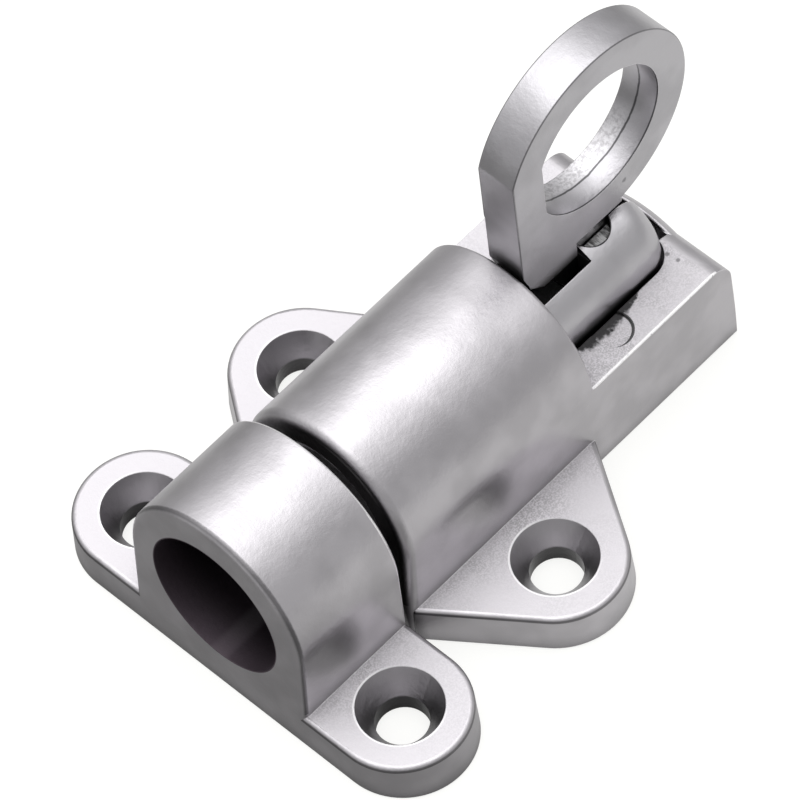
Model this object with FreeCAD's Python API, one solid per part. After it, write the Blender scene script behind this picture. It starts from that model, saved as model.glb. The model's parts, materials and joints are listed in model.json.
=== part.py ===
import FreeCAD, Part
import math
import os

# Spring door latch, millimetres. +Z up from the mounting plane, +X towards the ring end,
# origin at the middle of the latch body's two screw holes on the mounting plane.

V = FreeCAD.Vector
X_DIR = V(1, 0, 0)
Y_DIR = V(0, 1, 0)

# fits and clearances
slide_clear = 0.08         # running fit of the bolt in the body, on the radius
pin_clear = 0.05           # running fit on the pivot pin, on the radius
channel_clear = 0.4        # open room round the tail in the channel, on the radius
end_clear = 0.15           # room behind the tail's end, bolt pulled back
keeper_clear = 0.5         # room round the bolt in the keeper, on the radius
ring_clear = 0.3           # room between the ring's edge and the barrel end, and beside its foot

# bolt line
axis_z = 13.9              # height of the bolt axis over the mounting plane
bolt_r = 8.0               # radius of the bolt head
tail_r = 6.5               # radius of the bolt tail
throw = 9.5                # travel of the bolt
bolt_reach = 6.9           # how far the bolt goes into the keeper
face_lean = 3.5            # backward lean of the front faces, degrees
ear_reach = 25.65          # from the axis to the tips of the ears, on both castings
ear_draft = 0.3            # how much wider the ears are at the base

# latch body
body_front_x = -14.6       # front of the body at flange height
barrel_rear_x = 13.7       # rear face of the barrel
body_rear_x = 35.1         # rear end of the block
body_half_w = 11.45        # half width of barrel and block
barrel_crown_z = 24.9      # top of the barrel
block_top_z = 13.6         # flat top of the block
body_flange_t = 4.8        # thickness of the body's ears
body_ear_r = 7.7           # round of the ear
barrel_wall_t = 3.0        # thickness of the barrel's rear wall
front_round = 1.2          # rounding of the barrel's front rim
rear_lean = 2.5            # forward lean of the block's rear face, degrees
rear_round = 3.1           # rounding of the block's rear top edge
corner_round = 0.3         # rounding of the block's rear corners
slot_half_w = 4.3          # half width of the slot behind the channel
slot_end_x = 32.9          # rear end of that slot
hump_rise = 1.0            # height of the ring rest's round over that of the block's rear edge
hump_r = 12.5              # round of the ring rest across the block
hump_turn = 28.0           # half of the arc that the ring rest spans, degrees
hump_front_round = 0.3     # rounding of the ring rest towards the slot
mark_r = 2.2               # radius of the ejector mark
mark_depth = 0.15          # depth of the ejector mark
mark_x = 20.3              # place of the ejector mark along the block
mark_y = -8.0              # place of the ejector mark across the block

# keeper
keeper_rear_x = -15.7      # rear face of the keeper
keeper_len = 15.2          # length of the keeper
keeper_half_w = 11.9       # half width of the keeper's block
keeper_crown_z = 26.3      # top of the keeper
keeper_flange_t = 5.1      # thickness of the keeper's ears
keeper_round = 0.8         # rounding of the keeper's front rim
keeper_bore_rise = 0.2     # height of the keeper's bore over the bolt axis

# screw holes
hole_r = 2.85              # radius of the screw holes
sink_r = 4.65              # radius of the countersinks at the top
sink_seat_z = 2.15         # height of the straight part of the holes

# small edge rounds
flange_round = 0.6         # top edges of the ears
rim_round = 0.35           # rear rims of keeper and barrel

# bolt details, in the pulled-back position
nose_bevel = 1.2           # bevel at the tip
shoulder_x = 0.6           # rear face of the bolt head
pivot_x = 25.1             # pivot of the ring
tail_end_x = 31.6          # rear end of the tail
tail_end_round = 3.3       # rounding of the tail's rear end
cheek_half_gap = 3.55      # half width of the wide slot in the tail
cheek_step_x = 22.6        # where the wide slot ends
cheek_start_x = 11.5       # where the wide slot begins
tail_floor_z = 9.9         # floor of the slots in the tail
dish_r = 2.45              # round of the dished marks over the pin
dish_y = 0.6               # distance of their centres from the middle
dish_floor_z = 19.0        # floor of the dished marks

# pivot pin
pin_r = 1.9                # radius of the pivot pin
pin_half_len = 4.0         # half length of the pin over its round ends

# pull ring
ring_t = 4.8               # thickness of the ring plate
ring_z = 35.7              # height of the ring's centre
ring_r = 13.1              # outer radius of the ring
ring_lead = 12.3           # from the bearing edge back to the ring's centre
ring_hole_r = 8.95         # radius of the finger hole
limb_w = 4.2               # width of the straight front limb
hub_r = 3.6                # radius of the ring's hub
hub_t = 2.7                # thickness of the ring's hub
shoulder_z = 22.35         # underside of the plate over the hub
sole_z = 20.2              # underside of the plate over the foot
sole_end_x = 21.8          # where the foot's underside steps up to the shoulder
toe_high_z = 24.6          # lower end of the straight bearing edge
toe_in = 0.9               # how far the toe stands back from that edge
toe_z = 21.8               # height of the toe
heel_in = 4.5              # how far the heel stands back
heel_z = 18.8              # height of the heel
hub_turn = 50.0            # where the foot meets the hub, degrees from straight down
ring_draft = 0.25          # rise of the parting ridge in the finger hole
ring_round = 0.2           # rounding of the ring's outer edges

# spring
wire_r = 0.5               # radius of the spring wire
wire_sides = 8             # flats round the spring wire
spring_turns = 5.0         # number of turns

# places that follow from the sizes above
body_ear_y = ear_reach - body_ear_r
keeper_ear_y = ear_reach - keeper_len / 2
nose_x = keeper_rear_x - bolt_reach + throw
bearing_x = barrel_rear_x + ring_clear
ring_x = bearing_x + ring_lead


def box(x0, x1, y0, y1, z0, z1):
    return Part.makeBox(x1 - x0, y1 - y0, z1 - z0, V(x0, y0, z0))


def rod_x(x0, x1, r, z):
    return Part.makeCylinder(r, x1 - x0, V(x0, 0, z), X_DIR)


def rod_y(x, z, r, half):
    return Part.makeCylinder(r, 2 * half, V(x, -half, z), Y_DIR)


def edges_if(shape, test):
    found = []
    for edge in shape.Edges:
        box_of = edge.BoundBox
        if test(box_of):
            found.append(edge)
    return found


def d_block(x0, x1, half_w, crown_z):
    spring_z = crown_z - half_w
    left = Part.makeLine(V(x0, half_w, 0), V(x0, half_w, spring_z))
    top = Part.Arc(V(x0, half_w, spring_z), V(x0, 0, crown_z), V(x0, -half_w, spring_z)).toShape()
    right = Part.makeLine(V(x0, -half_w, spring_z), V(x0, -half_w, 0))
    foot = Part.makeLine(V(x0, -half_w, 0), V(x0, half_w, 0))
    face = Part.Face(Part.Wire([left, top, right, foot]))
    return face.extrude(V(x1 - x0, 0, 0))


def lean_cutter(x0, z0, crown_z, half_w):
    slope = math.tan(math.radians(face_lean))
    low = x0 - z0 * slope
    high = x0 + (crown_z + 1 - z0) * slope
    reach = x0 - 10
    points = [V(low, 0, 0), V(reach, 0, 0), V(reach, 0, crown_z + 1), V(high, 0, crown_z + 1), V(low, 0, 0)]
    face = Part.Face(Part.makePolygon(points))
    face.translate(V(0, -half_w - 1, 0))
    return face.extrude(V(0, 2 * half_w + 2, 0))


def leaning_d(x0, x1, z0, half_w, crown_z, front_r, rear_r):
    slope = math.tan(math.radians(face_lean))
    solid = d_block(x0 - 2, x1, half_w, crown_z).cut(lean_cutter(x0, z0, crown_z, half_w))
    front = edges_if(solid, lambda b: b.XMax < x0 + crown_z * slope + 0.1 and b.ZMax > z0 + 1)
    solid = solid.makeFillet(front_r, front)
    rear = edges_if(solid, lambda b: b.XMin > x1 - 0.01 and b.ZMax > z0 + 1)
    solid = solid.makeFillet(rear_r, rear)
    return solid.cut(box(x0 - 3, x0, -half_w - 1, half_w + 1, -1, z0))


def screw_hole(x, y, top_z):
    straight = Part.makeCylinder(hole_r, top_z + 2, V(x, y, -1))
    sink = Part.makeCone(hole_r, sink_r, top_z - sink_seat_z, V(x, y, sink_seat_z))
    above = Part.makeCylinder(sink_r, 2, V(x, y, top_z))
    return straight.fuse(sink).fuse(above)


def tangent_point(start, centre, r, side):
    line = centre - start
    heading = math.atan2(line.y, line.x) + side * math.asin(r / line.Length)
    run = math.sqrt(line.Length * line.Length - r * r)
    return start + V(run * math.cos(heading), run * math.sin(heading), 0)


def round_top(plate, top_z):
    top = edges_if(plate, lambda b: b.ZMin > top_z - 0.01)
    return plate.makeFillet(flange_round, top)


def body_ear_outline(side, grow, z):
    centre = V(0, side * body_ear_y, z)
    front = V(body_front_x + 0.5, side * body_half_w, z)
    back = V(barrel_rear_x - 0.5, side * body_half_w, z)
    leave = tangent_point(front, centre, body_ear_r, side)
    meet = tangent_point(back, centre, body_ear_r, -side)
    front_out = (leave - centre) * (grow / body_ear_r)
    back_out = (meet - centre) * (grow / body_ear_r)
    front_in = V(front.x, front.y / 2, z) + front_out
    back_in = V(back.x, back.y / 2, z) + back_out
    tip = V(0, side * (ear_reach + grow), z)
    lines = [Part.makeLine(front_in, front + front_out)]
    lines.append(Part.makeLine(front + front_out, leave + front_out))
    lines.append(Part.Arc(leave + front_out, tip, meet + back_out).toShape())
    lines.append(Part.makeLine(meet + back_out, back + back_out))
    lines.append(Part.makeLine(back + back_out, back_in))
    lines.append(Part.makeLine(back_in, front_in))
    return Part.Wire(lines)


def body_ear(side):
    base = body_ear_outline(side, ear_draft, 0)
    top = body_ear_outline(side, 0, body_flange_t)
    return round_top(Part.makeLoft([base, top], True, True), body_flange_t)


def rear_x(z):
    return body_rear_x - z * math.tan(math.radians(rear_lean))


def block():
    top_x = rear_x(block_top_z)
    points = [V(0, 0, 0), V(body_rear_x, 0, 0), V(top_x, 0, block_top_z), V(0, 0, block_top_z), V(0, 0, 0)]
    side_view = Part.Face(Part.makePolygon(points)).extrude(V(0, 2 * body_half_w + 2, 0))
    side_view.translate(V(0, -body_half_w - 1, 0))
    top_edge = edges_if(side_view, lambda b: b.XMin > top_x - 0.01 and b.ZMin > block_top_z - 0.01)
    side_view = side_view.makeFillet(rear_round, top_edge)
    plan_view = box(0, body_rear_x, -body_half_w, body_half_w, 0, block_top_z)
    corners = edges_if(plan_view, lambda b: b.XMin > body_rear_x - 0.01 and b.ZMax - b.ZMin > 3)
    return side_view.common(plan_view.makeFillet(corner_round, corners))


def ring_rest():
    top_z = block_top_z + hump_rise
    mid_z = top_z - rear_round
    mid_x = rear_x(mid_z) - rear_round / math.cos(math.radians(rear_lean))
    foot_z = mid_z - 1
    run = slot_end_x + hump_front_round - mid_x
    reach = rear_round - hump_front_round
    climb = math.sqrt(reach * reach - run * run)
    scale = rear_round / reach
    front = V(slot_end_x, 0, mid_z + climb)
    crest = V(slot_end_x + hump_front_round, 0, mid_z + climb + hump_front_round)
    meet = V(mid_x + run * scale, 0, mid_z + climb * scale)
    turn = math.radians(20)
    behind = V(mid_x + rear_round * math.cos(turn), 0, mid_z + rear_round * math.sin(turn))
    rear = V(mid_x + rear_round, 0, mid_z)
    lines = [Part.makeLine(V(slot_end_x, 0, foot_z), front), Part.Arc(front, crest, meet).toShape()]
    lines.append(Part.Arc(meet, behind, rear).toShape())
    lines.append(Part.makeLine(rear, V(rear.x, 0, foot_z)))
    lines.append(Part.makeLine(V(rear.x, 0, foot_z), V(slot_end_x, 0, foot_z)))
    profile = Part.Face(Part.Wire(lines))
    profile.rotate(V(0, 0, top_z - hump_r), X_DIR, -hump_turn)
    return profile.revolve(V(0, 0, top_z - hump_r), X_DIR, 2 * hump_turn)


def channel():
    r = tail_r + channel_clear
    end_x = tail_end_x + end_clear
    turn = tail_end_round + end_clear
    room = rod_x(barrel_rear_x - 0.01, end_x, r, axis_z)
    room = room.makeFillet(turn, edges_if(room, lambda b: b.XMin > end_x - 0.01))
    over = box(barrel_rear_x, end_x, -r, r, axis_z, axis_z + 20)
    over = over.makeFillet(turn, edges_if(over, lambda b: b.XMin > end_x - 0.01 and b.ZLength > 19))
    slot = box(pivot_x, slot_end_x, -slot_half_w, slot_half_w, tail_floor_z - 1, axis_z + 20)
    return room.fuse(over).fuse(slot)


def make_latch_body():
    half_w = body_half_w
    barrel = leaning_d(body_front_x, barrel_rear_x, body_flange_t, half_w, barrel_crown_z, front_round, rim_round)
    body = barrel.fuse(block()).fuse(body_ear(1)).fuse(body_ear(-1))
    bore = rod_x(body_front_x - 3, barrel_rear_x - barrel_wall_t, bolt_r + slide_clear, axis_z)
    guide = rod_x(barrel_rear_x - barrel_wall_t - 1, barrel_rear_x + 1, tail_r + slide_clear, axis_z)
    body = body.cut(bore).cut(guide).cut(channel())
    body = body.fuse(ring_rest())
    mark = Part.makeCylinder(mark_r, block_top_z, V(mark_x, mark_y, block_top_z - mark_depth))
    body = body.cut(mark)
    body = body.cut(screw_hole(0, body_ear_y, body_flange_t))
    body = body.cut(screw_hole(0, -body_ear_y, body_flange_t))
    return body.removeSplitter()


def keeper_outline(grow, z):
    x0 = keeper_rear_x - keeper_len
    mid_x = keeper_rear_x - keeper_len / 2
    straight = keeper_ear_y + grow
    reach = ear_reach + grow
    left = Part.makeLine(V(x0, -straight, z), V(x0, straight, z))
    far = Part.Arc(V(x0, straight, z), V(mid_x, reach, z), V(keeper_rear_x, straight, z)).toShape()
    right = Part.makeLine(V(keeper_rear_x, straight, z), V(keeper_rear_x, -straight, z))
    near = Part.Arc(V(keeper_rear_x, -straight, z), V(mid_x, -reach, z), V(x0, -straight, z)).toShape()
    return Part.Wire([left, far, right, near])


def make_keeper():
    x0 = keeper_rear_x - keeper_len
    mid_x = keeper_rear_x - keeper_len / 2
    top_z = keeper_flange_t
    plate = Part.makeLoft([keeper_outline(ear_draft, 0), keeper_outline(0, top_z)], True, True)
    plate = round_top(plate, top_z)
    block_d = leaning_d(x0, keeper_rear_x, top_z, keeper_half_w, keeper_crown_z, keeper_round, rim_round)
    keeper = plate.fuse(block_d)
    bore_z = axis_z + keeper_bore_rise
    keeper = keeper.cut(rod_x(x0 - keeper_len, keeper_rear_x + 1, bolt_r + keeper_clear, bore_z))
    keeper = keeper.cut(screw_hole(mid_x, keeper_ear_y, top_z))
    keeper = keeper.cut(screw_hole(mid_x, -keeper_ear_y, top_z))
    return keeper.removeSplitter()


def pin_shape(r, half_len):
    straight = half_len - r
    pin = rod_y(pivot_x, axis_z, r, straight)
    pin = pin.fuse(Part.makeSphere(r, V(pivot_x, straight, axis_z)))
    return pin.fuse(Part.makeSphere(r, V(pivot_x, -straight, axis_z)))


def dished_marks():
    height = tail_r + axis_z - dish_floor_z
    marks = box(pivot_x - dish_r, pivot_x + dish_r, -dish_y, dish_y, dish_floor_z, dish_floor_z + height)
    marks = marks.fuse(Part.makeCylinder(dish_r, height, V(pivot_x, dish_y, dish_floor_z)))
    return marks.fuse(Part.makeCylinder(dish_r, height, V(pivot_x, -dish_y, dish_floor_z)))


def make_bolt():
    tip = Part.makeCone(bolt_r - nose_bevel, bolt_r, nose_bevel, V(nose_x, 0, axis_z), X_DIR)
    bolt = tip.fuse(rod_x(nose_x + nose_bevel, shoulder_x, bolt_r, axis_z))
    tail = rod_x(shoulder_x - 1, tail_end_x, tail_r, axis_z)
    tail = tail.makeFillet(tail_end_round, edges_if(tail, lambda b: b.XMin > tail_end_x - 0.01))
    bolt = bolt.fuse(tail)
    wide = box(cheek_start_x, cheek_step_x, -cheek_half_gap, cheek_half_gap, tail_floor_z, axis_z + 10)
    half = hub_t / 2 + ring_clear / 2
    narrow = box(cheek_step_x - 1, tail_end_x + 1, -half, half, tail_floor_z, axis_z + 10)
    pocket = pin_shape(pin_r + pin_clear, pin_half_len + pin_clear)
    return bolt.cut(wide).cut(narrow).cut(pocket).cut(dished_marks()).removeSplitter()


def make_pivot_pin():
    return pin_shape(pin_r, pin_half_len).removeSplitter()


def ring_outline():
    hub_x = pivot_x - hub_r * math.sin(math.radians(hub_turn))
    hub_z = axis_z - hub_r * math.cos(math.radians(hub_turn))
    points = [V(bearing_x, 0, ring_z), V(bearing_x, 0, toe_high_z), V(bearing_x + toe_in, 0, toe_z)]
    points.append(V(bearing_x + heel_in, 0, heel_z))
    points.append(V(hub_x, 0, hub_z))
    points.append(V(pivot_x, 0, axis_z))
    points.append(V(pivot_x + hub_r, 0, axis_z))
    points.append(V(pivot_x + hub_r, 0, ring_z))
    points.append(points[0])
    stem = Part.Face(Part.makePolygon(points)).extrude(V(0, ring_t, 0))
    stem.translate(V(0, -ring_t / 2, 0))
    plate = stem.fuse(rod_y(ring_x, ring_z, ring_r, ring_t / 2))
    return plate.fuse(rod_y(pivot_x, axis_z, hub_r, ring_t / 2)).removeSplitter()


def hole_wire(grow, y):
    r = ring_hole_r + grow
    flat_x = bearing_x + limb_w - grow
    half = math.sqrt(r * r - (ring_x - flat_x) ** 2)
    low = V(flat_x, y, ring_z - half)
    high = V(flat_x, y, ring_z + half)
    front = Part.makeLine(high, low)
    round_side = Part.Arc(low, V(ring_x + r, y, ring_z), high).toShape()
    return Part.Wire([front, round_side])


def beside_hub(side):
    thin = side * hub_t / 2
    wide = side * (ring_t / 2 + 1)
    far_x = ring_x + ring_r
    points = [V(0, thin, 0), V(far_x, thin, 0), V(far_x, thin, shoulder_z), V(sole_end_x, thin, shoulder_z)]
    points.append(V(sole_end_x, thin, sole_z))
    points.append(V(0, thin, sole_z))
    points.append(points[0])
    return Part.Face(Part.makePolygon(points)).extrude(V(0, wide - thin, 0))


def make_pull_ring():
    plate = ring_outline()
    half = ring_t / 2
    outer = edges_if(plate, lambda b: b.YMax - b.YMin < 0.01 and b.ZMax > toe_high_z + 0.1)
    plate = plate.makeFillet(ring_round, outer)
    near = Part.makeLoft([hole_wire(0, -half), hole_wire(-ring_draft, 0)], True)
    far = Part.makeLoft([hole_wire(-ring_draft, 0), hole_wire(0, half)], True)
    plate = plate.cut(near).cut(far).cut(beside_hub(1)).cut(beside_hub(-1))
    return plate.cut(rod_y(pivot_x, axis_z, pin_r + pin_clear, ring_t))


def make_spring():
    mean_r = (tail_r + bolt_r + slide_clear) / 2 + 0.05
    start = shoulder_x + wire_r + 0.05
    end = barrel_rear_x - barrel_wall_t - wire_r - 0.05
    length = end - start
    path = Part.makeHelix(length / spring_turns, length, mean_r)
    corners = []
    for i in range(wire_sides + 1):
        turn = 2 * math.pi * (i % wire_sides) / wire_sides
        corners.append(V(mean_r + wire_r * math.cos(turn), 0, wire_r * math.sin(turn)))
    section = Part.makePolygon(corners)
    coil = Part.Wire(path.Edges).makePipeShell([section], True, True)
    coil.rotate(V(0, 0, 0), Y_DIR, 90)
    coil.translate(V(start, 0, axis_z))
    return coil


def save(name, shape):
    shape.exportStep("parts/" + name + ".step")


def main():
    os.makedirs("parts", exist_ok=True)
    save("latch_body", make_latch_body())
    save("keeper", make_keeper())
    save("bolt", make_bolt())
    save("pivot_pin", make_pivot_pin())
    save("pull_ring", make_pull_ring())
    save("spring", make_spring())


main()
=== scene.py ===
import json
import math

import bpy
from bpy.props import FloatProperty, FloatVectorProperty, PointerProperty
from mathutils import Matrix, Vector


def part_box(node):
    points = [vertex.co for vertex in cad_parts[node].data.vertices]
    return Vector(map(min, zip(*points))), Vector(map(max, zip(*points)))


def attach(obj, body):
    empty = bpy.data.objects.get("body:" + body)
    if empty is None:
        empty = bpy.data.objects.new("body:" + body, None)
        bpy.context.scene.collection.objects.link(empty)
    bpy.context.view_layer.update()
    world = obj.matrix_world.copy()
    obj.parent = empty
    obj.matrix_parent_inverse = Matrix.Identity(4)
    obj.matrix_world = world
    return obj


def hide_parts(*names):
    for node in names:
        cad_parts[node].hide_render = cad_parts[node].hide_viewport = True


bl_info = {
    "name": "Spring Door Latch",
    "version": (1, 0, 0),
    "blender": (4, 5, 0),
    "location": "View3D > Sidebar > Latch",
    "description": "Finishes a cast spring door latch and sets it on a pale studio floor",
    "category": "Object",
}

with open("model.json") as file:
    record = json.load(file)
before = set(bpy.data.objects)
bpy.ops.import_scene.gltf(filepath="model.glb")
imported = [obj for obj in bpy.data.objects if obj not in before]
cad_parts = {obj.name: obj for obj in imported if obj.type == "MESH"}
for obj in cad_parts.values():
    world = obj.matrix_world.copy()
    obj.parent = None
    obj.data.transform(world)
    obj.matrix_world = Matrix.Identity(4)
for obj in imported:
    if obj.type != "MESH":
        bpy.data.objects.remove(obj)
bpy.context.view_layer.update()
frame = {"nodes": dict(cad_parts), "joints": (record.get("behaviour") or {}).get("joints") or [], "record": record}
MM = 0.001


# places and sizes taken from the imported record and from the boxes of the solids

mounts = {mount["name"]: mount for mount in frame["record"]["mounts"]}
joints = {joint["name"]: joint for joint in frame["joints"]}
pivot = Vector(joints["ring_hinge"]["pos_m"])
body_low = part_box("latch_body")[0]
keeper_low, keeper_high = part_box("keeper")
ring_low, ring_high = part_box("pull_ring")

# sizes of the solids that the record doesn't give

BARREL_REAR_X = 13.7 * MM           # rear face of the barrel
BLOCK_TOP_Z = 13.6 * MM             # flat top of the block
BODY_EAR_TOP = 4.8 * MM             # top of the body's ears
KEEPER_EAR_TOP = 5.1 * MM           # top of the keeper's ears
OVER_THE_EARS = 5.6 * MM            # height from which painted shade and painted highlights mark a casting's rims
BODY_BORE_R = 8.15 * MM             # just over the radius of the body's bore
KEEPER_BORE_R = 8.57 * MM           # just over the radius of the keeper's bore
KEEPER_BORE_RISE = 0.2 * MM         # height of the keeper's bore over the bolt axis
BODY_RIM_DEPTH = 2.8 * MM           # how far back the painted shade on the body's front rim reaches
KEEPER_RIM_DEPTH = 2.5 * MM         # how far back the painted shade on the keeper's front rim reaches
BACK_RIM_DEPTH = 0.5 * MM           # how far forward the painted highlight on the keeper's rear rim reaches
BORE_END_X = 11.0 * MM              # just behind the rear end of the body's bore
EAR_SHADE_DROP = 0.36 * MM           # how far the painted shade under the ears' edges lies below their tops
EAR_SHADE_REACH = 0.34 * MM          # half the height of that painted shade
SINK_R = 4.65 * MM                  # radius of the countersinks
SINK_SEAT_Z = 2.15 * MM             # height of the straight part of the holes
MARK_R = 2.2 * MM                   # radius of the ejector mark
MARK_X = 20.3 * MM                  # place of the ejector mark along the block
MARK_Y = -8.0 * MM                  # place of the ejector mark across the block
DISH_R = 2.45 * MM                  # round of the dished marks over the pin
DISH_Y = 0.6 * MM                   # distance of their centres from the middle
DISH_FLOOR_Z = 19.0 * MM            # floor of the dished marks
DISH_REACH_Y = 3.2 * MM             # how far the dished marks reach to each side
SLOT_HALF_W = 3.6 * MM              # just over the half width of the slot in the bolt's tail
RING_R = 13.1 * MM                  # outer radius of the ring
RING_HOLE_REACH = 9.3 * MM          # radius that holds the whole wall of the finger hole
RING_FACE_REACH = 10.5 * MM         # radius outside which painted shade marks the ring's outer edge
RING_FRONT_X = 14.02 * MM           # straight front of the ring
TOE_Z = 24.6 * MM                   # lower end of that straight front

# sizes of the pits and lines, and of the painted shade and painted highlight, on the block

CHANNEL_HALF_W = 7.1 * MM           # half width of the painted shade in the room round the tail
SHADE_END_X = 29.8 * MM              # rear end of that painted shade
SHADE_STREAK_FROM = 6.7 * MM               # distance from the middle at which the painted shade streak begins
SHADE_STREAK_WIDTH = 1.7 * MM              # width of the painted shade streak at its widest
SHADE_STREAK_WANDER = 1.6 * MM             # how far its edge wanders
EDGE_Y = -11.3 * MM                 # near edge of the block, where a painted highlight runs
PARTING_WANDER = 0.5 * MM           # how far the parting line in the finger hole wanders
BLOCK_PITS = (((30.93 * MM, -6.06 * MM, BLOCK_TOP_Z), 0.35 * MM),
              ((31.10 * MM, -7.43 * MM, BLOCK_TOP_Z), 0.32 * MM))
RING_PIT = ((29.3 * MM, -2.4 * MM, 25.4 * MM), 0.4 * MM)

# pairs of places between which a mask or a shade fades

BORE_PAINTED_LIGHT = (6.0 * MM, -1.0 * MM)          # painted light in a bore, by the depth from its mouth
SINK_LEE_SHADE = (-3.8 * MM, 0.5 * MM)            # painted shade on one side of a countersink, from its middle
SINK_PAINTED_HIGHLIGHT = (4.5 * MM, -1.0 * MM)          # painted highlight on one side of its rim, from its middle
CHANNEL_SHADE_Z = (13.5 * MM, 12.9 * MM)     # painted shade in the room beside the tail
SHADE_STREAK_HEAD_X = (15.0 * MM, 17.5 * MM)       # painted shade streak, from its front end
SHADE_STREAK_END_X = (27.2 * MM, 21.5 * MM)        # painted shade streak, from its rear end
CROWN_X = (2.0 * MM, 11.0 * MM)             # dull stretch on the barrel
CROWN_Z = (18.0 * MM, 22.0 * MM)
SLOT_SHADE_Z = (18.0 * MM, 15.0 * MM)        # painted shade in the slot under the ring
SUNK_SHADE_Z = (14.3 * MM, 12.8 * MM)        # painted shade on the tail's flanks, where they sink in the channel
ROUGH_Z = (31.5 * MM, 28.5 * MM)            # rough metal at the foot of the finger hole
ROUGH_Y = (-0.2 * MM, 0.6 * MM)
FLECK_SIDE_Y = (16.5 * MM, 12.0 * MM)       # flecked middle of the level faces
FLECK_NEAR_Y = (4.0 * MM, -4.0 * MM)        # their near side
FLOOR_GLOSS_X = (-40.0 * MM, 5.0 * MM)      # floor that the metal mirrors as white
FLOOR_GLOSS_Y = (30.0 * MM, 80.0 * MM)      # the same floor, where it ends at the rear

# noise scales, per metre, and shares of the grain

DRIFT_SCALE = 190                   # drift of tone over a casting
PIT_SCALE = 2600                    # outline of a pit
SHADE_STREAK_SCALE = 1700                  # outline of the painted shade streak
PARTING_SCALE = 420                 # wander of the parting line
STREAK_SCALE = (2600, 600, 1500)    # brush marks on the floor of the dished marks
STREAK_TURN = (0, 0, 0.5)           # direction of those marks, radians
COARSE_SHARE = 0.3                  # scale of the coarse grain, as a share of the fine one's
COARSE_RELIEF = 2.0                 # relief of the coarse grain, as a share of the fine one's
SPECKLE_SIZE = 0.4 * MM             # size of the speckles in the finger hole

# colours and roughness that aren't a user's settings

PAINTED_HIGHLIGHT = (1.0, 0.99, 1.0)            # colour of the painted highlights on edges and rims
WORN_METAL = (0.82, 0.81, 0.83)     # worn edges
SPECKLE_DARK = (0.36, 0.35, 0.36)   # darkest speckles in the finger hole
SPECKLE_LIGHT = (0.72, 0.71, 0.73)  # lightest speckles there
DEEP_BORE_SHADE_SHARE = 0.16              # painted shade inside a bore: its colour away from the mouth, as a share of that at the mouth
BORE_ROUGHNESS = 0.6
CROWN_ROUGHNESS = 0.44
DISH_ROUGHNESS = 0.55
PIN_ROUGHNESS = 0.5
SPRING_ROUGHNESS = 0.3
FLOOR_ROUGHNESS = 0.9

# light and camera

OVERHEAD = Vector((0.05, 0.20, 0.97))      # direction of the overhead light
PANEL_DISTANCE = 0.6
PANEL_WIDTH = 0.54
ZONE_EDGE = math.radians(70)               # where the bright zone overhead begins
ZONE_CORE = math.radians(8)                # where it is at its brightest
PAPER_WHITE = (1, 1, 0.985)
FLOOR_COLOUR = (0.24, 0.24, 0.236)
FLOOR_DROP = 0.2 * MM                      # how far the floor lies under the latch
CAMERA_PLACE = (-0.26756, -0.31499, 0.64122)
CAMERA_RIGHT = Vector((0.68096386, -0.72810843, -0.07839855))
CAMERA_AHEAD = Vector((0.35544678, 0.42222125, -0.83389856))
CLIP_START = 10.0 * MM
LENS_MM = 331.68
SENSOR_MM = 36

# mesh work on the ring

MERGE_REACH = 0.001 * MM                   # corners nearer than this are merged
CUT_TOLERANCE = 0.0001 * MM                # corners nearer than this to the cut count as on it
SMOOTH_UP_TO = math.radians(28)            # faces that meet at less than this are shaded as one


# sizes and colours that a user would change

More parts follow.
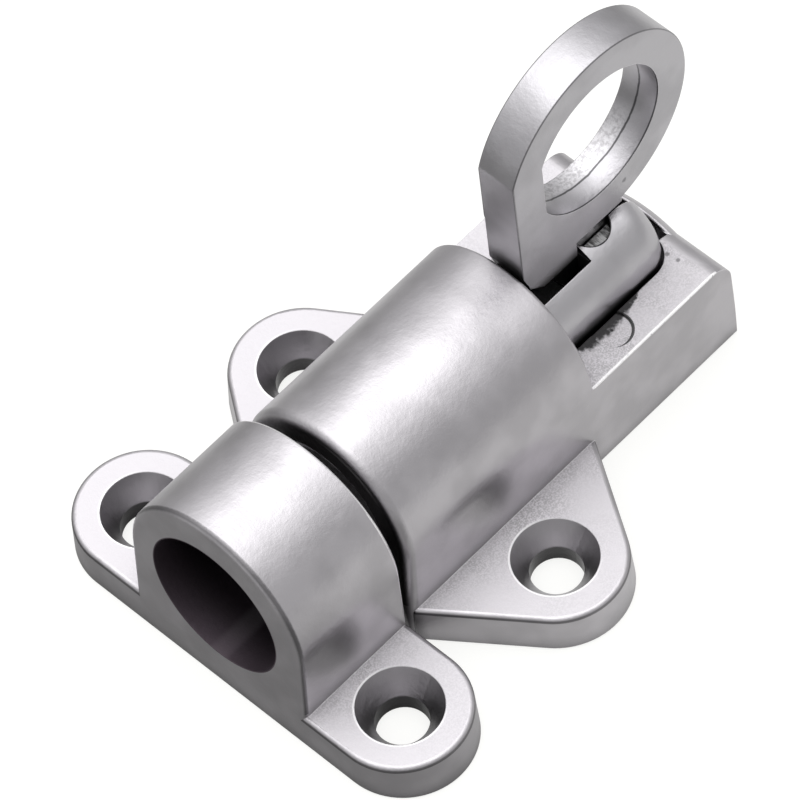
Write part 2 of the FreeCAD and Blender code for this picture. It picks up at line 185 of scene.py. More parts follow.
class CastFinish(bpy.types.PropertyGroup):
    cast_colour: FloatVectorProperty(
        name="Cast alloy", description="Colour of the blasted castings",
        subtype="COLOR", size=3, min=0, max=1, default=(0.47, 0.455, 0.475))
    bolt_colour: FloatVectorProperty(
        name="Bolt alloy", description="Colour of the cast bolt",
        subtype="COLOR", size=3, min=0, max=1, default=(0.46, 0.45, 0.47))
    ring_colour: FloatVectorProperty(
        name="Ring alloy", description="Colour of the cast pull ring",
        subtype="COLOR", size=3, min=0, max=1, default=(0.45, 0.44, 0.46))
    steel_colour: FloatVectorProperty(
        name="Steel", description="Colour of the pivot pin and the spring",
        subtype="COLOR", size=3, min=0, max=1, default=(0.40, 0.39, 0.39))
    # dark colour laid on the bore walls; away from the mouth, painted shade darkens it further
    bore_colour: FloatVectorProperty(
        name="Bore", description="Colour of the unfinished bores",
        subtype="COLOR", size=3, min=0, max=1, default=(0.125, 0.10, 0.12))
    roughness: FloatProperty(
        name="Roughness", description="Roughness of the rounded faces",
        subtype="FACTOR", min=0, max=1, default=0.31)
    flat_roughness: FloatProperty(
        name="Flat roughness", description="Roughness of the level faces",
        subtype="FACTOR", min=0, max=1, default=0.55)
    flat_lift: FloatProperty(
        name="Flat lift", description="How much lighter the level faces are",
        min=1, max=2, default=1.39)
    flat_metal: FloatProperty(
        name="Flat metal", description="Metallic share of the frosted level faces",
        subtype="FACTOR", min=0, max=1, default=0.5)
    flat_top: FloatProperty(
        name="Frosted height", description="Height up to which level faces are frosted",
        subtype="DISTANCE", unit="LENGTH", min=0, max=0.05, default=0.0145)
    grain_size: FloatProperty(
        name="Grain size", description="Size of the blasted grain",
        subtype="DISTANCE", unit="LENGTH", min=0.00005, max=0.002, default=0.00018)
    grain_depth: FloatProperty(
        name="Grain depth", description="Depth of the grain on the level faces",
        subtype="DISTANCE", unit="LENGTH", min=0, max=0.0002, default=0.000012)
    crevice_reach: FloatProperty(
        name="Crevice reach", description="How far the dark of a crevice reaches",
        subtype="DISTANCE", unit="LENGTH", min=0, max=0.01, default=0.0022)
    # strength of the painted shade in crevices
    painted_crevice_shade: FloatProperty(
        name="Crevice dark", description="How dark the crevices are",
        subtype="FACTOR", min=0, max=1, default=0.55)
    ring_front: FloatProperty(
        name="Ring front", description="Where the ring's straight front edge stands",
        subtype="DISTANCE", unit="LENGTH", min=0.0132, max=0.016, default=RING_FRONT_X)
    edge_width: FloatProperty(
        name="Edge width", description="Width of the worn sharp edges",
        subtype="DISTANCE", unit="LENGTH", min=0.00002, max=0.001, default=0.00016)


class StudioLight(bpy.types.PropertyGroup):
    key_radiance: FloatProperty(
        name="Overhead panel", description="Brightness of the overhead panel",
        min=0, max=10, default=0.62)
    overhead: FloatProperty(
        name="Overhead zone", description="Brightness of the soft zone overhead",
        min=0, max=10, default=1.55)
    room: FloatProperty(
        name="Room light", description="Brightness of the room round the object",
        min=0, max=5, default=0.64)
    floor_glow: FloatProperty(
        name="Floor white", description="Share of the floor's white that has no shadow",
        subtype="FACTOR", min=0, max=1, default=0.8)
    floor_size: FloatProperty(
        name="Floor size", description="Width of the floor",
        subtype="DISTANCE", unit="LENGTH", min=0.2, max=20, default=6.0)


# shader building blocks

def add_node(tree, kind, **settings):
    node = tree.nodes.new(kind)
    for name, value in settings.items():
        setattr(node, name, value)
    return node


def feed(tree, value, socket):
    """Links another socket to this one, or sets a plain value on it."""
    if isinstance(value, bpy.types.NodeSocket):
        tree.links.new(value, socket)
    elif socket.type == "RGBA":
        socket.default_value = (*value[:3], 1)
    else:
        socket.default_value = value


def calculate(tree, operation, *values):
    node = add_node(tree, "ShaderNodeMath", operation=operation)
    for value, socket in zip(values, node.inputs):
        feed(tree, value, socket)
    return node.outputs[0]


def minus(tree, first, second):
    return calculate(tree, "SUBTRACT", first, second)


def below(tree, value, limit):
    return calculate(tree, "LESS_THAN", value, limit)


def above(tree, value, limit):
    return calculate(tree, "GREATER_THAN", value, limit)


def within(tree, value, centre, reach):
    return calculate(tree, "COMPARE", value, centre, reach)


def without_sign(tree, value):
    return calculate(tree, "ABSOLUTE", value)


def product(tree, first, *others):
    for other in others:
        first = calculate(tree, "MULTIPLY", first, other)
    return first


def distance(tree, first, second):
    squares = [calculate(tree, "MULTIPLY", side, side) for side in (first, second)]
    return calculate(tree, "SQRT", calculate(tree, "ADD", *squares))


def vector_value(tree, operation, first, second):
    node = add_node(tree, "ShaderNodeVectorMath", operation=operation)
    feed(tree, first, node.inputs[0])
    feed(tree, second, node.inputs[1])
    return node.outputs["Value"]


def fade(tree, value, start_at, end_at, start=0.0, end=1.0, smooth=True):
    """Goes from one result to the other while the value goes from start_at to end_at."""
    node = add_node(tree, "ShaderNodeMapRange", interpolation_type="SMOOTHSTEP" if smooth else "LINEAR")
    for name, setting in (("Value", value), ("From Min", start_at), ("From Max", end_at),
                          ("To Min", start), ("To Max", end)):
        feed(tree, setting, node.inputs[name])
    return node.outputs["Result"]


def mix_colour(tree, factor, first, second, blend="MIX"):
    node = add_node(tree, "ShaderNodeMix", data_type="RGBA", blend_type=blend)
    for value, socket in ((factor, node.inputs[0]), (first, node.inputs[6]), (second, node.inputs[7])):
        feed(tree, value, socket)
    return node.outputs[2]


def mix_value(tree, factor, first, second):
    node = add_node(tree, "ShaderNodeMix", data_type="FLOAT")
    for value, socket in ((factor, node.inputs[0]), (first, node.inputs[2]), (second, node.inputs[3])):
        feed(tree, value, socket)
    return node.outputs[0]


def grey(tree, value):
    node = add_node(tree, "ShaderNodeCombineColor")
    for socket in node.inputs:
        feed(tree, value, socket)
    return node.outputs[0]


def dim(tree, colour, mask, share):
    kept = 1.0 - share
    return mix_colour(tree, mask, colour, (kept, kept, kept), "MULTIPLY")


def object_place(tree):
    return add_node(tree, "ShaderNodeTexCoord").outputs["Object"]


def split(tree, vector):
    node = add_node(tree, "ShaderNodeSeparateXYZ")
    feed(tree, vector, node.inputs[0])
    return node.outputs


def position(tree):
    return split(tree, object_place(tree))


def slope(tree):
    return split(tree, add_node(tree, "ShaderNodeTexCoord").outputs["Normal"])


def soft_noise(tree, vector, scale, detail=3, roughness=0.5):
    noise = add_node(tree, "ShaderNodeTexNoise")
    for name, setting in (("Vector", vector), ("Scale", scale), ("Detail", detail), ("Roughness", roughness)):
        feed(tree, setting, noise.inputs[name])
    return noise.outputs["Fac"]


def shared_group(name, inputs, outputs):
    """Turns a function that fills a node group into one that builds it once and then hands it out."""
    def wrap(fill):
        def fetch():
            if name in bpy.data.node_groups:
                return bpy.data.node_groups[name]
            group = bpy.data.node_groups.new(name, "ShaderNodeTree")
            for label, value in inputs.items():
                kind = "NodeSocketVector" if isinstance(value, tuple) else "NodeSocketFloat"
                socket = group.interface.new_socket(label, in_out="INPUT", socket_type=kind)
                socket.default_value = value
            for label in outputs:
                group.interface.new_socket(label, in_out="OUTPUT", socket_type="NodeSocketFloat")
            entry = group.nodes.new("NodeGroupInput")
            leave = group.nodes.new("NodeGroupOutput")
            results = fill(group, entry.outputs)
            for label, result in zip(outputs, results if len(outputs) > 1 else [results]):
                group.links.new(result, leave.inputs[label])
            return group
        return fetch
    return wrap


def place_group(tree, group, values=None):
    node = add_node(tree, "ShaderNodeGroup", node_tree=group)
    for name, value in (values or {}).items():
        node.inputs[name].default_value = value
    return node.outputs


# groups for every cast surface

@shared_group("blasted grain", {"Size": 0.24 * MM}, ("Height", "Relief", "Tone"))
def grain_group(tree, given):
    """Fine grain for colour, its relief for the bump, and a broad drift of tone."""
    place = object_place(tree)
    scale = calculate(tree, "DIVIDE", 1.0, given["Size"])
    fine = soft_noise(tree, place, scale, roughness=0.6)
    coarse = soft_noise(tree, place, calculate(tree, "MULTIPLY", scale, COARSE_SHARE), detail=2)
    drift = soft_noise(tree, place, DRIFT_SCALE, detail=2)
    return fine, calculate(tree, "MULTIPLY_ADD", coarse, COARSE_RELIEF, fine), drift


@shared_group("level faces", {"Top": 14.5 * MM}, ("Level",))
def level_group(tree, given):
    """Where a face looks straight up, below the given height."""
    facing_up = fade(tree, slope(tree)["Z"], 0.985, 0.999)
    return product(tree, facing_up, below(tree, position(tree)["Z"], given["Top"]))


@shared_group("worn edges", {"Width": 0.16 * MM}, ("Wear",))
def wear_group(tree, given):
    """Sharp edges, found where the rounded normal leaves the real one."""
    bevel = add_node(tree, "ShaderNodeBevel", samples=6)
    feed(tree, given["Width"], bevel.inputs["Radius"])
    normal = add_node(tree, "ShaderNodeNewGeometry").outputs["Normal"]
    return fade(tree, vector_value(tree, "DOT_PRODUCT", bevel.outputs[0], normal), 0.995, 0.86)


@shared_group("crevices", {"Reach": 2.0 * MM}, ("Shade",))
def crevice_shade_group(tree, given):
    """Painted shade in corners and gaps that little sky reaches."""
    open_sky = add_node(tree, "ShaderNodeAmbientOcclusion", samples=4)
    feed(tree, given["Reach"], open_sky.inputs["Distance"])
    return fade(tree, open_sky.outputs["AO"], 0.95, 0.40)


@shared_group("casting pit", {"Centre": (0, 0, 0), "Radius": 0.3 * MM}, ("Pit",))
def pit_group(tree, given):
    """One ragged round spot."""
    place = object_place(tree)
    apart = vector_value(tree, "DISTANCE", place, given["Centre"])
    ragged = calculate(tree, "ADD", soft_noise(tree, place, PIT_SCALE), 0.5)
    share = calculate(tree, "DIVIDE", product(tree, apart, ragged), given["Radius"])
    return fade(tree, share, 1.0, 0.45)


# groups for the two castings

@shared_group("inside a bore", {"Radius": BODY_BORE_R, "Height": pivot.z, "Front": body_low.x,
                                "Rear end": BORE_END_X}, ("Inside", "Mouth"))
def bore_group(tree, given):
    """The wall of a bore, and how near it is to the mouth, which sets the painted light on that wall."""
    at = position(tree)
    up = minus(tree, at["Z"], given["Height"])
    share = calculate(tree, "DIVIDE", distance(tree, up, at["Y"]), given["Radius"])
    inside = product(tree, fade(tree, share, 1.01, 1.0), below(tree, at["X"], given["Rear end"]))
    depth = minus(tree, at["X"], given["Front"])
    return inside, fade(tree, depth, *BORE_PAINTED_LIGHT)


@shared_group("line under the ears' edges", {"Top": BODY_EAR_TOP}, ("Line",))
def ear_edge_shade_group(tree, given):
    """Painted shade: the dark line on the rounding just under the ears' top edges."""
    drop = minus(tree, given["Top"], position(tree)["Z"])
    tilt = slope(tree)["Z"]
    rounded = product(tree, fade(tree, tilt, 0.06, 0.22), fade(tree, tilt, 0.74, 0.5))
    return product(tree, rounded, within(tree, drop, EAR_SHADE_DROP, EAR_SHADE_REACH))


@shared_group("front rim", {"Rear end": body_low.x + BODY_RIM_DEPTH, "Low": OVER_THE_EARS},
              ("Round", "Line"))
def front_rim_shade_group(tree, given):
    """Painted shade on the rounding of a casting's front rim: on its inner part and along its outer line."""
    at = position(tree)
    forward = calculate(tree, "MULTIPLY", slope(tree)["X"], -1.0)
    here = product(tree, below(tree, at["X"], given["Rear end"]), above(tree, at["Z"], given["Low"]))
    line = product(tree, fade(tree, forward, 0.03, 0.2), fade(tree, forward, 0.8, 0.5), here)
    return product(tree, fade(tree, forward, 0.66, 0.98), here), line


@shared_group("bright back rim", {"Rear": keeper_high.x, "Low": OVER_THE_EARS}, ("Rim",))
def back_rim_highlight_group(tree, given):
    """The painted highlight on the rounding at the keeper's rear."""
    at = position(tree)
    turned = slope(tree)["X"]
    rounded = product(tree, fade(tree, turned, 0.08, 0.3), fade(tree, turned, 0.97, 0.8))
    last = below(tree, minus(tree, given["Rear"], at["X"]), BACK_RIM_DEPTH)
    return product(tree, rounded, last, above(tree, at["Z"], given["Low"]))


@shared_group("screw holes", {"Along": 0.0, "Across": 18.0 * MM}, ("Wall", "Lee", "Rim", "Outside"))
def screw_hole_light_group(tree, given):
    """Painted shade on the straight wall and the lee side of the screw holes, a painted highlight on their rim,
    and all outside.
    """
    at = position(tree)
    along = minus(tree, at["X"], given["Along"])
    across = minus(tree, without_sign(tree, at["Y"]), given["Across"])
    reach = distance(tree, along, across)
    cone = fade(tree, reach, SINK_R + 0.10 * MM, SINK_R - 0.03 * MM)
    wall = fade(tree, at["Z"], SINK_SEAT_Z + 0.15 * MM, SINK_SEAT_Z - 0.15 * MM)
    lee_shade = fade(tree, along, *SINK_LEE_SHADE)
    ring = product(tree, fade(tree, reach, SINK_R - 0.07 * MM, SINK_R + 0.01 * MM),
                   fade(tree, reach, SINK_R + 0.23 * MM, SINK_R + 0.13 * MM))
    rim = product(tree, ring, fade(tree, along, *SINK_PAINTED_HIGHLIGHT))
    return product(tree, cone, wall), product(tree, cone, lee_shade), rim, minus(tree, 1.0, cone)


def on_the_block(tree, at):
    """Where a point lies on the block's flat top."""
    return within(tree, at["Z"], BLOCK_TOP_Z - 0.1 * MM, 0.25 * MM)


def before_the_tail_end(tree, at):
    """Fades the painted shade of the slots out towards the block's rear."""
    return fade(tree, at["X"], SHADE_END_X, SHADE_END_X - 2.8 * MM)


@shared_group("beside the tail", {}, ("Deep", "Shade streak", "Edge"))
def channel_light_group(tree, given):
    """Painted shade in the room round the tail and in a streak along its near side, and a painted highlight on the
    block's near edge.
    """
    at = position(tree)
    behind = above(tree, at["X"], BARREL_REAR_X)
    between = below(tree, without_sign(tree, at["Y"]), CHANNEL_HALF_W)
    deep_shade = product(tree, fade(tree, at["Z"], *CHANNEL_SHADE_Z), between, behind, before_the_tail_end(tree, at))
    ragged = soft_noise(tree, object_place(tree), SHADE_STREAK_SCALE, detail=4)
    wander = calculate(tree, "MULTIPLY_ADD", ragged, SHADE_STREAK_WANDER, -SHADE_STREAK_WANDER / 2)
    nearer = minus(tree, calculate(tree, "MULTIPLY", at["Y"], -1.0), SHADE_STREAK_FROM)
    off = calculate(tree, "ADD", nearer, wander)
    swell = product(tree, fade(tree, at["X"], *SHADE_STREAK_HEAD_X), fade(tree, at["X"], *SHADE_STREAK_END_X))
    width = calculate(tree, "MULTIPLY_ADD", swell, SHADE_STREAK_WIDTH, 0.01 * MM)
    share = calculate(tree, "DIVIDE", off, width)
    shade_streak = product(tree, fade(tree, share, 1.0, 0.5), on_the_block(tree, at),
                    fade(tree, width, 0.1 * MM, 0.4 * MM), below(tree, at["Y"], 0.0))
    edge = product(tree, fade(tree, at["Y"], EDGE_Y + 0.18 * MM, EDGE_Y), behind, on_the_block(tree, at),
                   above(tree, at["Z"], BLOCK_TOP_Z - 0.2 * MM), fade(tree, ragged, 0.25, 0.42))
    return deep_shade, shade_streak, edge


@shared_group("ejector mark", {"Along": MARK_X, "Across": MARK_Y, "Radius": MARK_R}, ("Mark",))
def mark_group(tree, given):
    """The ejector mark, a ring that is drawn thicker on the side away from the barrel."""
    at = position(tree)
    along = minus(tree, at["X"], given["Along"])
    across = minus(tree, at["Y"], given["Across"])
    reach = distance(tree, along, across)
    lean = calculate(tree, "MULTIPLY_ADD", across, -0.5, along)
    turn = fade(tree, calculate(tree, "DIVIDE", lean, given["Radius"]), -0.45, 0.8)
    half_line = calculate(tree, "MULTIPLY_ADD", turn, 0.14 * MM, 0.03 * MM)
    away = without_sign(tree, minus(tree, reach, given["Radius"]))
    ring = product(tree, below(tree, away, half_line), fade(tree, turn, 0.0, 0.25))
    dot = fade(tree, reach, 0.22 * MM, 0.12 * MM)
    return product(tree, calculate(tree, "MAXIMUM", ring, dot), on_the_block(tree, at))


@shared_group("rear of the barrel's crown", {}, ("Crown",))
def crown_group(tree, given):
    """The duller stretch at the rear of the barrel's top."""
    at = position(tree)
    return product(tree, fade(tree, at["X"], *CROWN_X), fade(tree, at["Z"], *CROWN_Z))


# groups for the bolt and the ring

@shared_group("marks over the pin", {}, ("Floor", "Streaks", "Wall", "Slot"))
def dish_group(tree, given):
    """The streaked floor of the dished marks, painted shade on their wall, and painted shade in the tail's slots
    and on its sunk flanks.
    """
    at = position(tree)
    side = without_sign(tree, at["Y"])
    floor = product(tree, within(tree, at["Z"], DISH_FLOOR_Z, 0.06 * MM),
                    within(tree, at["X"], pivot.x, DISH_R + 0.15 * MM), below(tree, side, DISH_REACH_Y))
    stretch = add_node(tree, "ShaderNodeMapping")
    stretch.inputs["Scale"].default_value = STREAK_SCALE
    stretch.inputs["Rotation"].default_value = STREAK_TURN
    feed(tree, object_place(tree), stretch.inputs["Vector"])
    streaks = soft_noise(tree, stretch.outputs[0], 1.0)
    reach = distance(tree, minus(tree, at["X"], pivot.x), minus(tree, side, DISH_Y))
    wall = product(tree, within(tree, reach, DISH_R, 0.12 * MM),
                   within(tree, at["Z"], DISH_FLOOR_Z + 0.7 * MM, 0.72 * MM))
    slot = product(tree, fade(tree, at["Z"], *SLOT_SHADE_Z), below(tree, side, SLOT_HALF_W))
    sunk = product(tree, fade(tree, at["Z"], *SUNK_SHADE_Z), before_the_tail_end(tree, at))
    return floor, streaks, wall, calculate(tree, "MAXIMUM", slot, sunk)


@shared_group("lines in the finger hole", {}, ("Line", "Rough", "Outer edge"))
def finger_hole_group(tree, given):
    """Parting lines and rough metal in the finger hole, and painted shade along the ring's outer edges."""
    at = position(tree)
    tilt = without_sign(tree, slope(tree)["Y"])
    reach = distance(tree, minus(tree, at["X"], ring_high.x - RING_R),
                     minus(tree, at["Z"], ring_high.z - RING_R))
    inside = product(tree, below(tree, reach, RING_HOLE_REACH), below(tree, tilt, 0.7))
    drift = soft_noise(tree, object_place(tree), PARTING_SCALE)
    wander = calculate(tree, "MULTIPLY_ADD", drift, PARTING_WANDER, -PARTING_WANDER / 2)
    parting = without_sign(tree, calculate(tree, "ADD", at["Y"], wander))
    edge = without_sign(tree, calculate(tree, "ADD", at["Y"], -ring_low.y - 0.1 * MM))
    line = calculate(tree, "MAXIMUM", fade(tree, parting, 0.16 * MM, 0.07 * MM),
                     fade(tree, edge, 0.13 * MM, 0.05 * MM))
    rough = product(tree, inside, fade(tree, at["Z"], *ROUGH_Z), fade(tree, at["Y"], *ROUGH_Y))
    outer = product(tree, fade(tree, tilt, 0.2, 0.4), fade(tree, tilt, 0.97, 0.85),
                    above(tree, reach, RING_FACE_REACH))
    side = without_sign(tree, at["Y"])
    front = product(tree, fade(tree, side, ring_high.y - 0.2 * MM, ring_high.y - 0.1 * MM),
                    fade(tree, at["X"], RING_FRONT_X + 0.16 * MM, RING_FRONT_X + 0.06 * MM),
                    above(tree, at["Z"], TOE_Z))
    return product(tree, inside, line), rough, calculate(tree, "MAXIMUM", outer, front)


# what each piece has beside the plain cast surface

def casting_details(tree, colour, roughness, bore, screws, ear_top):
    look = bpy.context.scene.latch_finish
    across = mounts[screws]["dims"]["spacing_y_mm"] * MM / 2
    holes = place_group(tree, screw_hole_light_group(), {"Along": mounts[screws]["pos_m"][0], "Across": across})
    # painted shade on the lee side and the straight wall of the screw holes, and a painted highlight on their rims
    colour = dim(tree, colour, holes["Lee"], share=0.34)
    colour = dim(tree, colour, holes["Wall"], share=0.8)
    colour = mix_colour(tree, calculate(tree, "MULTIPLY", holes["Rim"], 0.75), colour, PAINTED_HIGHLIGHT)
    # painted shade on the rounding under the ears' edges
    line = place_group(tree, ear_edge_shade_group(), {"Top": ear_top})["Line"]
    colour = dim(tree, colour, product(tree, line, holes["Outside"]), share=0.6)
    # dark bore walls, with painted shade away from the mouth
    inner = place_group(tree, bore_group(), bore)
    shallow = tuple(look.bore_colour)
    deep_shade = tuple(c * DEEP_BORE_SHADE_SHARE for c in shallow)
    colour = mix_colour(tree, inner["Inside"], colour, mix_colour(tree, inner["Mouth"], deep_shade, shallow))
    return colour, mix_value(tree, inner["Inside"], roughness, BORE_ROUGHNESS)


def body_details(tree, colour, roughness):
    bore = {"Radius": BODY_BORE_R, "Height": pivot.z, "Front": body_low.x}
    colour, roughness = casting_details(tree, colour, roughness, bore, "body_screws", BODY_EAR_TOP)
    # painted shade on the rounding of the barrel's front rim
    rim = place_group(tree, front_rim_shade_group(), {"Rear end": body_low.x + BODY_RIM_DEPTH})
    colour = dim(tree, colour, rim["Line"], share=0.12)
    colour = dim(tree, colour, rim["Round"], share=0.68)
    beside = place_group(tree, channel_light_group())
    # painted shade in the room round the tail and in a streak along its near side
    colour = dim(tree, colour, beside["Deep"], share=0.93)
    colour = dim(tree, colour, beside["Shade streak"], share=0.93)
    colour = dim(tree, colour, place_group(tree, mark_group())["Mark"], share=0.85)
    # painted highlight along the block's near edge
    colour = mix_colour(tree, beside["Edge"], colour, PAINTED_HIGHLIGHT)
    crown = place_group(tree, crown_group())["Crown"]
    roughness = mix_value(tree, crown, roughness, CROWN_ROUGHNESS)
    for centre, radius in BLOCK_PITS:
        pit = place_group(tree, pit_group(), {"Centre": centre, "Radius": radius})["Pit"]
        colour = dim(tree, colour, pit, share=0.55)
    return colour, roughness


def keeper_details(tree, colour, roughness):
    bore = {"Radius": KEEPER_BORE_R, "Height": pivot.z + KEEPER_BORE_RISE, "Front": keeper_low.x}
    colour, roughness = casting_details(tree, colour, roughness, bore, "keeper_screws", KEEPER_EAR_TOP)
    # painted shade along the keeper's front rim
    rim = place_group(tree, front_rim_shade_group(), {"Rear end": keeper_low.x + KEEPER_RIM_DEPTH})
    colour = dim(tree, colour, rim["Line"], share=0.6)
    # painted highlight on the keeper's rear rim
    back = place_group(tree, back_rim_highlight_group(), {"Rear": keeper_high.x})["Rim"]
    return mix_colour(tree, calculate(tree, "MULTIPLY", back, 0.75), colour, PAINTED_HIGHLIGHT), roughness


def bolt_details(tree, colour, roughness):
    marks = place_group(tree, dish_group())
    streaked = grey(tree, fade(tree, marks["Streaks"], 0.38, 0.62, start=0.22, end=0.95))
    colour = mix_colour(tree, marks["Floor"], colour, streaked)
    # painted shade on the wall of the dished marks, in the slots and on the sunk flanks
    colour = dim(tree, colour, marks["Wall"], share=0.9)
    colour = dim(tree, colour, marks["Slot"], share=0.93)
    return colour, mix_value(tree, marks["Floor"], roughness, DISH_ROUGHNESS)


def ring_details(tree, colour, roughness):
    hole = place_group(tree, finger_hole_group())
    grain = place_group(tree, grain_group(), {"Size": SPECKLE_SIZE})["Height"]
    speckled = mix_colour(tree, fade(tree, grain, 0.36, 0.60), SPECKLE_DARK, SPECKLE_LIGHT)
    colour = mix_colour(tree, calculate(tree, "MULTIPLY", hole["Rough"], 0.5), colour, speckled)
    colour = dim(tree, colour, hole["Line"], share=0.75)
    # painted shade along the ring's outer edges
    colour = dim(tree, colour, hole["Outer edge"], share=0.5)
    centre, radius = RING_PIT
    pit = place_group(tree, pit_group(), {"Centre": centre, "Radius": radius})["Pit"]
    return dim(tree, colour, pit, share=0.5), roughness


def no_details(tree, colour, roughness):
    return colour, roughness


# the cast material

def frosted_colour(tree, grain, colour):
    """Colour of the level faces, with flecks of grain in patches round the middle of the near side."""
    lift = bpy.context.scene.latch_finish.flat_lift
    at = position(tree)
    inner = fade(tree, without_sign(tree, at["Y"]), *FLECK_SIDE_Y, start=0.25)
    near = fade(tree, at["Y"], *FLECK_NEAR_Y, start=0.25)
    patchy = product(tree, inner, near, fade(tree, grain["Tone"], 0.35, 0.65, start=0.3))
    dark = tuple(c * (lift - 0.45) for c in colour)
    light = tuple(min(1.0, c * (lift + 0.10)) for c in colour)
    flecked = mix_colour(tree, fade(tree, grain["Height"], 0.40, 0.62), dark, light)
    return mix_colour(tree, patchy, tuple(c * lift for c in colour), flecked)


def cast_material(name, colour, rough, flat_rough, details):
    look = bpy.context.scene.latch_finish
    material = bpy.data.materials.new(name)
    material.use_nodes = True
    tree = material.node_tree
    shader = tree.nodes["Principled BSDF"]
    grain = place_group(tree, grain_group(), {"Size": look.grain_size})
    level = place_group(tree, level_group(), {"Top": look.flat_top})["Level"]
    wear = place_group(tree, wear_group(), {"Width": look.edge_width})["Wear"]
    shade = place_group(tree, crevice_shade_group(), {"Reach": look.crevice_reach})["Shade"]
    dull = tuple(c * 0.92 for c in colour)
    fresh = tuple(min(1.0, c * 1.08) for c in colour)
    body = mix_colour(tree, fade(tree, grain["Tone"], 0.35, 0.65), dull, fresh)
    body = mix_colour(tree, level, body, frosted_colour(tree, grain, colour))
    # painted shade in crevices, weaker on the level faces
    crevice_shade_mask = product(tree, shade, fade(tree, level, 0.0, 1.0, start=1.0, end=0.25, smooth=False))
    body = dim(tree, body, crevice_shade_mask, share=look.painted_crevice_shade)
    worn = product(tree, wear, fade(tree, grain["Tone"], 0.3, 0.55, start=0.35))
    body = mix_colour(tree, worn, body, WORN_METAL)
    roughness = rough
    if flat_rough != rough:
        roughness = fade(tree, level, 0.0, 1.0, start=rough, end=flat_rough, smooth=False)
    body, roughness = details(tree, body, roughness)
    feed(tree, body, shader.inputs["Base Color"])
    feed(tree, roughness, shader.inputs["Roughness"])
    metal = fade(tree, level, 0.0, 1.0, start=1.0, end=look.flat_metal, smooth=False)
    feed(tree, metal, shader.inputs["Metallic"])
    rounded = add_node(tree, "ShaderNodeBevel", samples=4)
    rounded.inputs["Radius"].default_value = look.edge_width
    bump = add_node(tree, "ShaderNodeBump")
    bump.inputs["Strength"].default_value = 1.0
    bump.inputs["Distance"].default_value = 1.0
    feed(tree, calculate(tree, "MULTIPLY", grain["Relief"], look.grain_depth), bump.inputs["Height"])
    feed(tree, rounded.outputs[0], bump.inputs["Normal"])
    feed(tree, bump.outputs[0], shader.inputs["Normal"])
    return material


def dress(node, material):
    """Gives every slot of a solid the same material."""
    mesh = frame["nodes"][node].data
    for index in range(len(mesh.materials)):
        mesh.materials[index] = material


# one operator for each piece or group of pieces

class LATCH_OT_castings(bpy.types.Operator):
    """Gives the latch body and the keeper their blasted cast finish"""
    bl_idname = "latch.castings"
    bl_label = "Latch body and keeper"

    def execute(self, context):
        look = context.scene.latch_finish
        colour = tuple(look.cast_colour)
        for node, name, details in (("latch_body", "blasted body alloy", body_details),
                                    ("keeper", "blasted keeper alloy", keeper_details)):
            dress(node, cast_material(name, colour, look.roughness, look.flat_roughness, details))
        return {"FINISHED"}


class LATCH_OT_bolt(bpy.types.Operator):
    """Gives the bolt, its pivot pin and its spring their finish"""
    bl_idname = "latch.bolt"
    bl_label = "Bolt, pivot pin and spring"

    def execute(self, context):
        look = context.scene.latch_finish
        dress("bolt", cast_material("cast bolt alloy", tuple(look.bolt_colour), look.roughness,
                                    look.flat_roughness, bolt_details))
        steel = tuple(look.steel_colour)
        for node, name, rough in (("pivot_pin", "pin steel", PIN_ROUGHNESS),
                                  ("spring", "spring steel", SPRING_ROUGHNESS)):
            dress(node, cast_material(name, steel, rough, rough, no_details))
        return {"FINISHED"}


def trimmed_ring(front_x):
    """A copy of the solid ring whose front is cut straight, with its shading made anew."""
    ring = bpy.data.objects.new("straight_fronted_ring", frame["nodes"]["pull_ring"].data.copy())
    bpy.context.scene.collection.objects.link(ring)
    bpy.ops.object.select_all(action="DESELECT")
    ring.select_set(True)
    bpy.context.view_layer.objects.active = ring
    bpy.ops.object.mode_set(mode="EDIT")
    bpy.ops.mesh.select_all(action="SELECT")
    bpy.ops.mesh.remove_doubles(threshold=MERGE_REACH)
    bpy.ops.mesh.bisect(plane_co=(front_x, 0, 0), plane_no=(-1, 0, 0), use_fill=True, clear_outer=True,
                        threshold=CUT_TOLERANCE)
    bpy.ops.mesh.customdata_custom_splitnormals_clear()
    bpy.ops.object.mode_set(mode="OBJECT")
    bpy.ops.object.shade_smooth_by_angle(angle=SMOOTH_UP_TO)
    return ring


class LATCH_OT_ring(bpy.types.Operator):
    """Cuts the pull ring's front straight and gives it its finish"""
    bl_idname = "latch.ring"
    bl_label = "Pull ring"

    def execute(self, context):
        look = context.scene.latch_finish
        ring = trimmed_ring(look.ring_front)
        ring.data.materials.clear()
        ring.data.materials.append(cast_material("cast ring alloy", tuple(look.ring_colour), look.roughness,
                                                 look.flat_roughness, ring_details))
        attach(ring, "ring")
        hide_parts("pull_ring")
        return {"FINISHED"}


# studio

def panel_light(name, towards, reach, width, radiance):
    data = bpy.data.lights.new(name, "AREA")
    data.shape = "DISK"
    data.size = width
    data.energy = radiance * math.pi * math.pi * width * width / 4
    lamp = bpy.data.objects.new(name, data)
    bpy.context.scene.collection.objects.link(lamp)
    aim = towards.normalized()
    lamp.location = aim * reach
    lamp.rotation_euler = aim.to_track_quat("Z", "Y").to_euler()
    lamp.visible_camera = False


def seen_straight(tree):
    """The light path, and a mask for what the camera sees directly or through something clear."""
    path = add_node(tree, "ShaderNodeLightPath").outputs
    return path, calculate(tree, "MAXIMUM", path["Is Camera Ray"], path["Is Transmission Ray"])


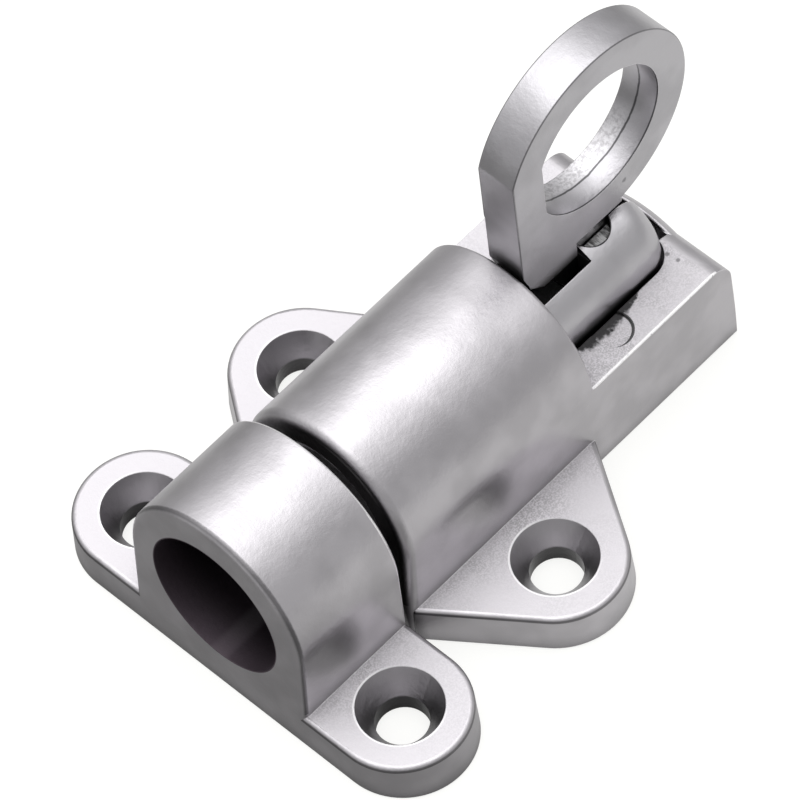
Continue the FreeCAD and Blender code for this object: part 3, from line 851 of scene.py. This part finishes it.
def make_world(light):
    world = bpy.data.worlds.new("room")
    bpy.context.scene.world = world
    world.use_nodes = True
    tree = world.node_tree
    direction = add_node(tree, "ShaderNodeTexCoord").outputs["Generated"]
    towards = vector_value(tree, "DOT_PRODUCT", direction, OVERHEAD.normalized())
    zone = fade(tree, calculate(tree, "ARCCOSINE", towards), ZONE_EDGE, ZONE_CORE, end=light.overhead)
    room = grey(tree, calculate(tree, "ADD", zone, light.room))
    straight = seen_straight(tree)[1]
    back = tree.nodes["Background"]
    feed(tree, mix_colour(tree, straight, room, PAPER_WHITE), back.inputs["Color"])
    back.inputs["Strength"].default_value = 1.0


def make_floor(light):
    bpy.ops.mesh.primitive_plane_add(size=light.floor_size, location=(0, 0, -FLOOR_DROP))
    floor = bpy.context.object
    floor.name = "floor"
    material = bpy.data.materials.new("pale floor")
    material.use_nodes = True
    tree = material.node_tree
    shader = tree.nodes["Principled BSDF"]
    feed(tree, FLOOR_COLOUR, shader.inputs["Base Color"])
    feed(tree, PAPER_WHITE, shader.inputs["Emission Color"])
    shader.inputs["Roughness"].default_value = FLOOR_ROUGHNESS
    shader.inputs["Specular IOR Level"].default_value = 0.0
    at = position(tree)
    path, straight = seen_straight(tree)
    right = fade(tree, at["X"], *FLOOR_GLOSS_X, start=0.05, end=0.7)
    front = fade(tree, at["Y"], *FLOOR_GLOSS_Y, start=1.0, end=0.2)
    mirrored = calculate(tree, "MULTIPLY", path["Is Glossy Ray"], product(tree, right, front))
    seen = calculate(tree, "ADD", straight, mirrored)
    feed(tree, calculate(tree, "MULTIPLY", seen, light.floor_glow), shader.inputs["Emission Strength"])
    floor.data.materials.append(material)


def make_camera():
    data = bpy.data.cameras.new("camera")
    data.sensor_width = SENSOR_MM
    data.lens = LENS_MM
    data.clip_start = CLIP_START
    camera = bpy.data.objects.new("camera", data)
    bpy.context.scene.collection.objects.link(camera)
    up = CAMERA_RIGHT.cross(CAMERA_AHEAD)
    turn = Matrix((CAMERA_RIGHT, up, -CAMERA_AHEAD)).transposed().to_4x4()
    camera.matrix_world = Matrix.Translation(CAMERA_PLACE) @ turn
    bpy.context.scene.camera = camera


class LATCH_OT_stage(bpy.types.Operator):
    """Sets up the pale floor, the overhead panel, the room light and the camera"""
    bl_idname = "latch.stage"
    bl_label = "Studio"

    def execute(self, context):
        light = context.scene.latch_light
        panel_light("overhead panel", OVERHEAD, PANEL_DISTANCE, PANEL_WIDTH, light.key_radiance)
        make_world(light)
        make_floor(light)
        make_camera()
        context.scene.view_settings.view_transform = "Standard"
        return {"FINISHED"}


# panel, registration and the run

class LATCH_PT_panel(bpy.types.Panel):
    """Sizes, colours and steps of the latch"""
    bl_idname = "LATCH_PT_panel"
    bl_label = "Spring Door Latch"
    bl_space_type = "VIEW_3D"
    bl_region_type = "UI"
    bl_category = "Latch"

    def draw(self, context):
        for settings in (context.scene.latch_finish, context.scene.latch_light):
            for name in settings.__annotations__:
                self.layout.prop(settings, name)
        for step in STEPS:
            self.layout.operator(step.bl_idname)


STEPS = (LATCH_OT_castings, LATCH_OT_bolt, LATCH_OT_ring, LATCH_OT_stage)
CLASSES = (CastFinish, StudioLight) + STEPS + (LATCH_PT_panel,)


def register():
    for cls in CLASSES:
        bpy.utils.register_class(cls)
    bpy.types.Scene.latch_finish = PointerProperty(type=CastFinish)
    bpy.types.Scene.latch_light = PointerProperty(type=StudioLight)


def unregister():
    del bpy.types.Scene.latch_light
    del bpy.types.Scene.latch_finish
    for cls in reversed(CLASSES):
        bpy.utils.unregister_class(cls)


def main():
    register()
    bpy.ops.object.select_all(action="DESELECT")
    bpy.ops.latch.castings()
    bpy.ops.latch.bolt()
    bpy.ops.latch.ring()
    bpy.ops.latch.stage()


if __name__ == "__main__":
    main()
